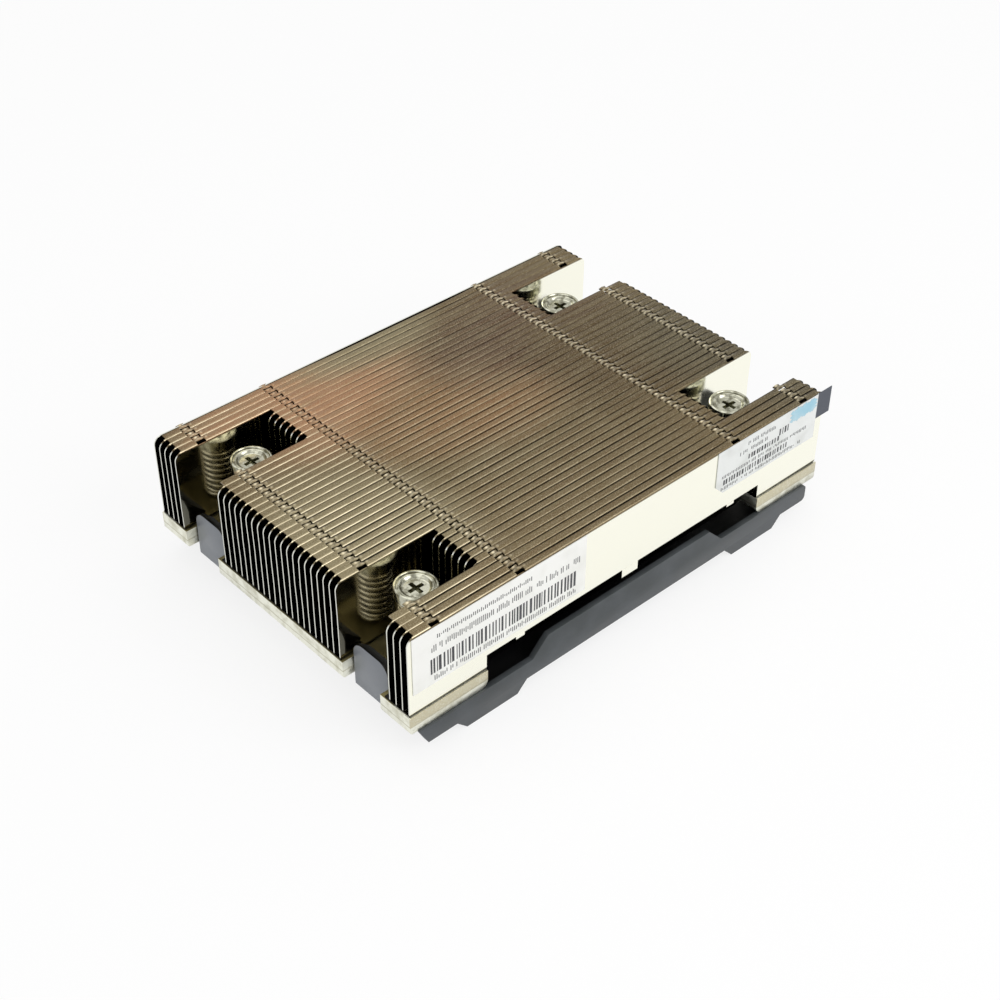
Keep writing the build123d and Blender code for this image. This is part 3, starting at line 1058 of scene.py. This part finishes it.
    def build_fin(self, node: str, number: int, opening: float) -> Piece:
        """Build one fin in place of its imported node.

        Args:
            node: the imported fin's name.
            number: its place in the stack, which seeds its irregularities.
            opening: which side of its web faces open space.

        Returns:
            The fin, as a closed sheet of the right thickness.
        """
        kind = self.kind_of(node)
        web_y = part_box(node)[0].y + self.sheet / 2
        half_length = self.short_end if kind is FinKind.SHORT else self.fin_end
        points, zone, base_x, pressed, seam = self.surface(kind, web_y, half_length, number)
        rows, columns = points.shape[:2]
        keep = self.kept_quads(zone, self.section(kind).y, base_x, half_length)
        quads = grid_quads(rows, columns)[keep]
        marks = self.marks(zone, points[..., 0], opening) | {"pressed": pressed, "seam": seam}
        points, quads = points.reshape(-1, 3), quads.reshape(-1, 4)
        if kind in (FinKind.OUTER, FinKind.END):
            inner = self.rows[0]
            corner_marks = {name: np.zeros(4) for name in marks} | {
                "open": np.full(4, np.sign(opening)), "outer": np.ones(4)}
            for centre, size in ((0.0, self.tab), (-inner, self.nib), (inner, self.nib)):
                corners = self.tab_corners(centre, size, web_y).reshape(-1, 3)
                quads = np.concatenate([quads, grid_quads(2, 2).reshape(-1, 4) + len(points)])
                points = np.concatenate([points, corners])
                marks = {name: np.append(marks[name].ravel(), corner_marks[name]) for name in marks}
        piece = mesh_piece(f"folded_{node}", points, quads, marks)
        solid = piece.modifiers.new("sheet", "SOLIDIFY")
        solid.thickness = self.seen_sheet
        solid.offset = 0.0
        solid.use_even_offset = True
        settle(piece)
        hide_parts(node)
        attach(piece, "root")
        return piece

    def build(self) -> None:
        """Build every fin and plate it."""
        plating = self.plating.material()
        nodes = sorted(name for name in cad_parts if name.startswith("fin_"))
        for number, node in enumerate(nodes, start=1):
            piece = self.build_fin(node, number, self.opening(nodes, number - 1))
            dress(piece, plating)
            log.info("%s stands for %s", piece.name, node)


@dataclass
class SoftenedCopy:
    """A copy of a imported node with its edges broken, as stamping, moulding or plating leaves them."""

    node: str
    name: str
    slot: str
    edge: float

    def build(self, material: Material) -> Piece:
        """Merge the copy's points, join its flat faces, round its edges and dress it.

        Args:
            material: what the piece is made of.

        Returns:
            The piece.
        """
        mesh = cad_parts[self.node].data.copy()
        mesh.name = self.name
        piece = link_piece(self.name, mesh)
        work = bmesh.new()
        work.from_mesh(mesh)
        bmesh.ops.remove_doubles(work, verts=work.verts, dist=MM / 500)
        bmesh.ops.dissolve_limit(work, angle_limit=math.radians(1), verts=work.verts, edges=work.edges)
        work.to_mesh(mesh)
        work.free()
        bevel = piece.modifiers.new("edges", "BEVEL")
        bevel.width = self.edge
        bevel.segments = 2
        bevel.limit_method = "ANGLE"
        bevel.angle_limit = math.radians(30)
        bevel.use_clamp_overlap = True
        settle(piece)
        dress(piece, material)
        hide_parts(self.node)
        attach(piece, "root")
        log.info("%s stands for %s", self.name, self.node)
        return piece


@dataclass
class SpringScrew:
    """One captive screw with the compression spring under its head.

    A ring of the head is its radius and its height over the head's top, in millimetres.
    """

    number: int
    head_rings: tuple[tuple[float, float], ...] = (
        (2.75, -0.95), (3.05, -0.80), (3.30, -0.42), (3.45, -0.30), (3.72, -0.30), (3.84, -0.42),
        (3.98, -0.42), (4.10, -0.10), (4.20, 0.0), (4.50, 0.0), (4.66, -0.12), (4.70, -0.30),
    )
    head_height: float = 2.6 * MM
    recess_span: float = 3.7 * MM
    recess_width: float = 0.95 * MM
    recess_depth: float = 1.3 * MM
    shank_radius: float = 2.7 * MM
    neck_radius: float = 1.6 * MM
    thread_radius: float = 2.0 * MM
    thread_pitch: float = 0.7 * MM
    thread_depth: float = 0.36 * MM
    neck_low: float = -0.85 * MM
    wire: float = 0.9 * MM
    coil_turns: float = 9.5
    closed_turns: float = 1.0
    travel: float = 3.5 * MM
    chamfer: float = 0.2 * MM
    shank_low: float = -0.05 * MM
    plain_neck: float = 0.1 * MM
    point_height: float = 0.8 * MM
    point_share: float = 0.6
    seated: float = 0.4
    recess_slope: float = 0.16 * MM
    dish_rows: int = 29
    thread_rows: int = 70
    round_steps: int = 144
    turn_steps: int = 44
    wire_steps: int = 14

    def __post_init__(self) -> None:
        """Read the screw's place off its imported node."""
        low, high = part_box(f"captive_screw_{self.number}")
        self.x = (low.x + high.x) / 2
        self.y = (low.y + high.y) / 2
        self.head_top = high.z
        self.tip = low.z
        self.spring_low, self.spring_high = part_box(f"spring_{self.number}")

    def profile(self) -> tuple[Array, Array]:
        """Radius and height of the turned outline, from the middle of the head down to the tip.

        Returns:
            Both, with one entry for each ring of points.
        """
        dish = np.linspace(0, self.head_rings[0][0], self.dish_rows + 1)[:-1] * MM
        rings = np.array(self.head_rings) * MM
        under = self.head_top - self.head_height
        edge = rings[-1, 0]
        side = np.array([
            (edge, under + self.chamfer), (edge - self.chamfer, under), (self.shank_radius, under),
            (self.shank_radius, self.shank_low + self.chamfer),
            (self.shank_radius - self.chamfer, self.shank_low),
            (self.neck_radius, self.shank_low), (self.neck_radius, self.neck_low),
        ])
        thread_z = np.linspace(self.neck_low, self.tip, self.thread_rows)
        taper = np.clip((thread_z - self.tip) / self.point_height, self.point_share, 1.0)
        radius = np.concatenate([dish, rings[:, 0], side[:, 0], self.thread_radius * taper, [0.0]])
        flat = np.full(len(dish), self.head_top + rings[0, 1])
        height = np.concatenate([flat, self.head_top + rings[:, 1], side[:, 1], thread_z, [self.tip]])
        return radius, height

    def build_screw(self, material: Material) -> Piece:
        """Turn the outline about the screw's axis, sink the cross recess and cut the thread.

        The recess lowers the dish where a point is inside either bar of the cross, with sides that slope in.
        The thread takes off a depth that follows a triangle wave of height plus angle.

        Args:
            material: the screw's finish.

        Returns:
            The screw.
        """
        radius, height = self.profile()
        angle = np.linspace(0, TURN, self.round_steps, endpoint=False)
        r = np.repeat(radius[:, None], len(angle), axis=1)
        z = np.repeat(height[:, None], len(angle), axis=1)
        across, along = np.abs(r * np.cos(angle)), np.abs(r * np.sin(angle))
        half, wide = self.recess_span / 2, self.recess_width / 2
        inside = np.minimum(np.maximum(across - half, along - wide), np.maximum(along - half, across - wide))
        sunk = np.clip(-inside / self.recess_slope, 0, 1)
        dish = (np.arange(len(radius)) < self.dish_rows)[:, None]
        z = z - np.where(dish, self.recess_depth * sunk, 0)
        wave = np.abs(((height[:, None] / self.thread_pitch + angle / TURN) % 1.0) - 0.5) * 2
        threaded = ((height < self.neck_low - self.plain_neck) & (radius > 0))[:, None]
        r = r - np.where(threaded, self.thread_depth * wave, 0)
        points = np.stack([self.x + r * np.cos(angle), self.y + r * np.sin(angle), z], axis=-1)
        quads = grid_quads(len(radius), len(angle), wrap=True)
        piece = mesh_piece(f"turned_screw_{self.number}", points, quads)
        close_poles(piece)
        settle(piece, sharp_angle=40)
        dress(piece, material)
        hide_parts(f"captive_screw_{self.number}")
        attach(piece, f"turn_{self.number}")
        return piece

    def build_spring(self, material: Material) -> Piece:
        """Wind a round wire into a helix whose end turns lie closed and are ground flat.

        The middle line climbs by one wire for each closed turn and evenly between them. The wire's circle
        stands square to it, and heights past the spring's two seats are pressed back onto them.

        Args:
            material: the spring's finish.

        Returns:
            The spring.
        """
        low, high = self.spring_low, self.spring_high
        coil_radius = (high.x - low.x) / 2 - self.wire / 2
        angle = np.linspace(0, TURN * self.coil_turns, int(self.turn_steps * self.coil_turns))
        start, stop = low.z + self.seated * self.wire, high.z - self.seated * self.wire
        closed = self.closed_turns * self.wire
        knots = np.array([0, self.closed_turns, self.coil_turns - self.closed_turns, self.coil_turns]) * TURN
        climb = np.interp(angle, knots, [start, start + closed, stop - closed, stop])
        outward = np.stack([np.cos(angle), np.sin(angle), 0 * angle], axis=-1)
        middle = np.stack([self.x + 0 * angle, self.y + 0 * angle, climb], axis=-1) + coil_radius * outward
        tangent = np.gradient(middle, axis=0)
        tangent /= np.linalg.norm(tangent, axis=1, keepdims=True)
        upward = np.cross(outward, tangent)
        turn = np.linspace(0, TURN, self.wire_steps, endpoint=False)
        ring = np.cos(turn)[None, :, None] * outward[:, None] + np.sin(turn)[None, :, None] * upward[:, None]
        middle = np.concatenate([middle[:1], middle, middle[-1:]])
        ring = np.concatenate([ring[:1], ring, ring[-1:]])
        swell = np.concatenate([[0.0], np.full(len(angle), self.wire / 2), [0.0]])
        points = middle[:, None] + ring * swell[:, None, None]
        points[..., 2] = np.clip(points[..., 2], low.z, high.z)
        piece = mesh_piece(f"wound_spring_{self.number}", points, grid_quads(*points.shape[:2], wrap=True))
        close_poles(piece)
        settle(piece, sharp_angle=60)
        dress(piece, material)
        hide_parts(f"spring_{self.number}")
        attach(piece, "root")
        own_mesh(piece)
        return piece


@dataclass
class Labels:
    """The two labels on the outermost fin: plain film, with printed marks that spell nothing.

    Strips of print are x from, x to, z from and z to in millimetres, with z above the plate. Strokes and
    widths are millimetres too.
    """

    print_rise: float = 0.02 * MM
    plate_top: float = 4.5 * MM
    stroke: float = 0.2
    stroke_step: float = 0.52
    text_lines: tuple[Area, ...] = (
        (-54.5, -28.8, 17.2, 18.3), (-56.0, -15.5, 14.2, 15.9), (-55.4, -16.9, 6.4, 7.7),
    )
    text_bars: tuple[Area, ...] = ((-56.7, -16.1, 8.4, 12.4),)
    text_widths: tuple[float, float] = (0.22, 0.7)
    rear_lines: tuple[Area, ...] = (
        (36.0, 45.0, 18.2, 19.2), (33.5, 42.5, 16.3, 17.3), (28.0, 56.5, 12.6, 13.5), (28.0, 55.0, 9.3, 10.2),
    )
    rear_bars: tuple[Area, ...] = (
        (46.2, 50.0, 15.4, 17.2), (28.0, 50.0, 10.7, 12.1), (36.0, 47.5, 14.1, 15.4),
    )
    rear_widths: tuple[float, float] = (0.22, 0.6)
    left_out: float = 0.125
    cut_share: float = 0.4
    deepest_cut: float = 0.4
    sticker_start: tuple[float, float] = (50.4 * MM, 17.0 * MM)
    sticker_size: tuple[float, float] = (8.7 * MM, 3.2 * MM)
    sticker_torn: tuple[float, float] = (0.5 * MM, 0.4 * MM)
    sticker_film: float = 0.06 * MM
    ink: PrintedFilm = PrintedFilm("label_ink", shade(50, 50, 54), shade(90, 90, 94), 0.5)
    sticker: PrintedFilm = PrintedFilm("blue_sticker_film", shade(150, 196, 214), shade(190, 214, 222), 0.4)

    def slabs(self, name: str, boxes: Array, face_y: float) -> Piece:
        """Make thin raised rectangles.

        Args:
            name: the piece's name.
            boxes: x from, x to, z from and z to of each rectangle, shaped (count, 4).
            face_y: the label's face, in front of which they stand.

        Returns:
            One object with a closed slab of six quads for each rectangle.
        """
        x = boxes[:, [0, 1, 1, 0]]
        z = boxes[:, [2, 2, 3, 3]]
        front = np.stack([x, np.full_like(x, face_y - self.print_rise), z], axis=-1)
        back = np.stack([x, np.full_like(x, face_y + self.print_rise), z], axis=-1)
        points = np.concatenate([front, back], axis=1)
        sides = [[0, 4, 5, 1], [1, 5, 6, 2], [2, 6, 7, 3], [3, 7, 4, 0]]
        pattern = np.array([[0, 1, 2, 3], [7, 6, 5, 4], *sides])
        quads = pattern[None] + 8 * np.arange(len(boxes))[:, None, None]
        piece = mesh_piece(name, points, quads)
        close_poles(piece)
        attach(piece, "root")
        return piece

    def ticks(self, area: Area, widths: tuple[float, float], seed: int) -> Array:
        """Fill a strip with upright marks of uneven width.

        Args:
            area: x from, x to, z from and z to of the strip, in millimetres, with z above the plate.
            widths: least and greatest width of a mark and of the gap after it.
            seed: for the widths.

        Returns:
            The marks' rectangles in metres.
        """
        draw = np.random.default_rng(seed)
        count = int((area[1] - area[0]) / widths[0])
        edges = area[0] + np.cumsum(draw.uniform(widths[0], widths[1], 2 * count))
        pairs = edges.reshape(-1, 2)
        pairs = pairs[pairs[:, 1] < area[1]]
        low = np.full(len(pairs), area[2]) + self.plate_top / MM
        high = np.full(len(pairs), area[3]) + self.plate_top / MM
        return np.column_stack([pairs, low, high]) * MM

    def words(self, area: Area, seed: int) -> Array:
        """Fill a strip with thin upright strokes in groups, which from afar read as a line of print.

        Args:
            area: x from, x to, z from and z to of the strip, in millimetres, with z above the plate.
            seed: for the strokes.

        Returns:
            The strokes' rectangles in metres, some cut short. One in eight is left out, which parts the
            groups.
        """
        draw = np.random.default_rng(seed)
        x = np.arange(area[0], area[1], self.stroke_step)
        x = x[draw.uniform(size=len(x)) > self.left_out]
        low, high = area[2] + self.plate_top / MM, area[3] + self.plate_top / MM
        depth = draw.uniform(0, self.deepest_cut, (2, len(x)))
        cut = depth * (draw.uniform(size=(2, len(x))) < self.cut_share) * (high - low)
        return np.column_stack([x, x + self.stroke, low + cut[0], high - cut[1]]) * MM

    def build(self) -> None:
        """Dress both labels and add their marks and the sticker."""
        front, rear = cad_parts["front_label"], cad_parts["rear_label"]
        dress(front, PrintedFilm("front_label_film", shade(240, 240, 236), shade(226, 226, 220)).material())
        dress(rear, ShadedFlapFilm().material())
        ink = self.ink.material()
        face_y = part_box("front_label")[0].y
        prints = (
            ("front_label", self.text_lines, self.text_bars, self.text_widths, 10),
            ("rear_label", self.rear_lines, self.rear_bars, self.rear_widths, 30),
        )
        for node, lines, fields, widths, seed in prints:
            words = [self.words(area, seed + i) for i, area in enumerate(lines)]
            bars = [self.ticks(area, widths, seed + 10 + i) for i, area in enumerate(fields)]
            marks = self.slabs(f"{node}_marks", np.concatenate([*words, *bars]), face_y)
            dress(marks, ink)
        dress(self.sticker_sheet(face_y), self.sticker.material())
        log.info("labels dressed")

    def sticker_sheet(self, face_y: float) -> Piece:
        """Lay a small torn sticker over the rear label's upper end: a grid whose edges wander.

        Args:
            face_y: the label's face, on which it lies.

        Returns:
            The sticker.
        """
        u, v = np.meshgrid(np.linspace(0, 1, 24), np.linspace(0, 1, 12))
        (start_x, start_z), (length, height), (torn_x, torn_z) = (
            self.sticker_start, self.sticker_size, self.sticker_torn)
        x = start_x + u * length + torn_x * wander(v * 4, 5, (1.3, 0.5)) * (2 * u - 1)
        z = self.plate_top + start_z + v * height + torn_z * wander(u * 6, 6, (1.9, 0.7)) * (2 * v - 1)
        y = np.full_like(x, face_y - self.sticker_film / 2)
        piece = mesh_piece("torn_blue_sticker", np.stack([x, y, z], axis=-1), grid_quads(*x.shape))
        solid = piece.modifiers.new("film", "SOLIDIFY")
        solid.thickness = self.sticker_film
        solid.offset = 0.0
        settle(piece)
        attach(piece, "root")
        return piece


def sight_turn(direction: Vector) -> Matrix:
    """Turn that points a camera or a lamp, which look along their own -Z, in a direction."""
    return direction.to_track_quat("-Z", "Y").to_matrix().to_4x4()


@dataclass
class Studio:
    """Pale floor, soft lamps, white surroundings and the camera of the photograph."""

    azimuth: float = -42.458
    elevation: float = 39.044
    distance: float = 382.05 * MM
    target: Span3 = (-12.50 * MM, -15.29 * MM, 16.5 * MM)
    roll: float = 0.294
    lens: float = 63.27
    floor_size: float = 6.0
    floor_drop: float = 0.02 * MM
    floor_glow: float = 0.8
    ambient: float = 0.62
    aim: Span3 = (0, 0, 0.01)
    lamps: tuple[tuple[str, Span3, float, float], ...] = (
        ("key_lamp", (0.25, -0.75, 0.55), 0.6, 3.2),
        ("fill_lamp", (-0.75, -0.2, 0.6), 0.7, 1.2),
        ("top_lamp", (0.1, 0.35, 0.95), 0.8, 1.6),
    )

    def back(self) -> Vector:
        """Direction from the target to the camera."""
        a, e = math.radians(self.azimuth), math.radians(self.elevation)
        return Vector((math.sin(a) * math.cos(e), -math.cos(a) * math.cos(e), math.sin(e)))

    def camera(self) -> None:
        """Stand the camera where the photograph was taken."""
        data = bpy.data.cameras.new("camera")
        data.lens = self.lens
        data.clip_start = 0.01
        camera = link_piece("camera", data)
        back = self.back()
        turned = sight_turn(-back) @ Matrix.Rotation(math.radians(self.roll), 4, "Z")
        camera.matrix_world = Matrix.Translation(Vector(self.target) + back * self.distance) @ turned
        bpy.context.scene.camera = camera

    def lamp(self, name: str, place: Span3, size: float, watts: float) -> None:
        """Hang a square soft lamp that faces the object.

        Args:
            name: the lamp's name.
            place: where it hangs.
            size: its side.
            watts: its power.
        """
        data = bpy.data.lights.new(name, "AREA")
        data.size = size
        data.energy = watts
        lamp = link_piece(name, data)
        spot = Vector(place)
        lamp.matrix_world = Matrix.Translation(spot) @ sight_turn(Vector(self.aim) - spot)

    def seen_share(self, tree: bpy.types.NodeTree) -> Socket:
        """1 for rays from the camera, from gloss and through glass, and 0 for the light on the object.

        Args:
            tree: the node tree of the floor or the world.

        Returns:
            The share.
        """
        path = tree.nodes.new("ShaderNodeLightPath")
        seen = path.outputs["Is Camera Ray"]
        for ray in ("Is Glossy Ray", "Is Transmission Ray"):
            either = tree.nodes.new("ShaderNodeMath")
            either.operation = "MAXIMUM"
            tree.links.new(seen, either.inputs[0])
            tree.links.new(path.outputs[ray], either.inputs[1])
            seen = either.outputs[0]
        return seen

    def surroundings(self) -> None:
        """White world for what is seen and reflected, and a plainer level of light on the object."""
        world = bpy.data.worlds.new("surroundings")
        bpy.context.scene.world = world
        world.use_nodes = True
        tree = world.node_tree
        level = tree.nodes.new("ShaderNodeMapRange")
        level.inputs["To Min"].default_value = self.ambient
        level.inputs["To Max"].default_value = 1.0
        tree.links.new(self.seen_share(tree), level.inputs["Value"])
        background = tree.nodes["Background"]
        background.inputs["Color"].default_value = (1, 1, 1, 1)
        tree.links.new(level.outputs["Result"], background.inputs["Strength"])

    def floor(self) -> None:
        """Lay a pale floor under the feet, which shows nearly white and keeps a soft shadow."""
        half = self.floor_size / 2
        x, y = np.meshgrid([-half, half], [-half, half])
        z = np.full_like(x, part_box("protective_cover")[0].z - self.floor_drop)
        floor = mesh_piece("floor", np.stack([x, y, z], axis=-1), grid_quads(2, 2))
        wires = Wiring("floor")
        wires.coat(Base_Color=shade(250, 250, 250), Roughness=0.8, Specular_IOR_Level=0.1)
        tree = wires.tree
        glow = wires.add("ShaderNodeEmission", {"Color": (1, 1, 1, 1), "Strength": 1.0})
        share = wires.product(self.seen_share(tree), self.floor_glow)
        both = wires.add("ShaderNodeMixShader", {0: share, 1: wires.surface.outputs[0], 2: glow.outputs[0]})
        tree.links.new(both.outputs[0], tree.nodes["Material Output"].inputs["Surface"])
        dress(floor, wires.material)

    def build(self) -> None:
        """Set up the view, the light and the floor."""
        settings = bpy.context.scene.view_settings
        settings.view_transform = "Standard"
        self.camera()
        self.surroundings()
        self.floor()
        for name, place, size, watts in self.lamps:
            self.lamp(name, place, size, watts)
        log.info("studio ready")


def main() -> None:
    """Build the looks in order."""
    logging.basicConfig(level=logging.INFO, format="%(name)s: %(message)s")
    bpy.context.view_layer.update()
    Studio().build()
    FinStack().build()
    SoftenedCopy("base_plate", "plated_base", "base_plating", 0.18 * MM).build(BasePlating().material())
    cover = SoftenedCopy("protective_cover", "moulded_cover", "cover_plastic", 0.2 * MM)
    cover.build(MouldedPlastic().material())
    screw_finish = TurnedSteel("screw_plating", shade(186, 185, 168), shade(96, 94, 76), 0.1, 0.24)
    spring_finish = TurnedSteel("spring_steel", shade(210, 206, 192), shade(150, 145, 128), 0.1, 0.2)
    clip_finish = TurnedSteel("clip_steel", shade(168, 170, 172), shade(110, 112, 114))
    screw_steel, spring_steel, clip_steel = (
        finish.material() for finish in (screw_finish, spring_finish, clip_finish))
    for number in range(1, 5):
        screw = SpringScrew(number)
        screw.build_screw(screw_steel)
        screw.build_spring(spring_steel)
        dress(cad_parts[f"retaining_clip_{number}"], clip_steel)
        log.info("screw %d with its spring and clip", number)
    Labels().build()


if __name__ == "__main__":
    main()
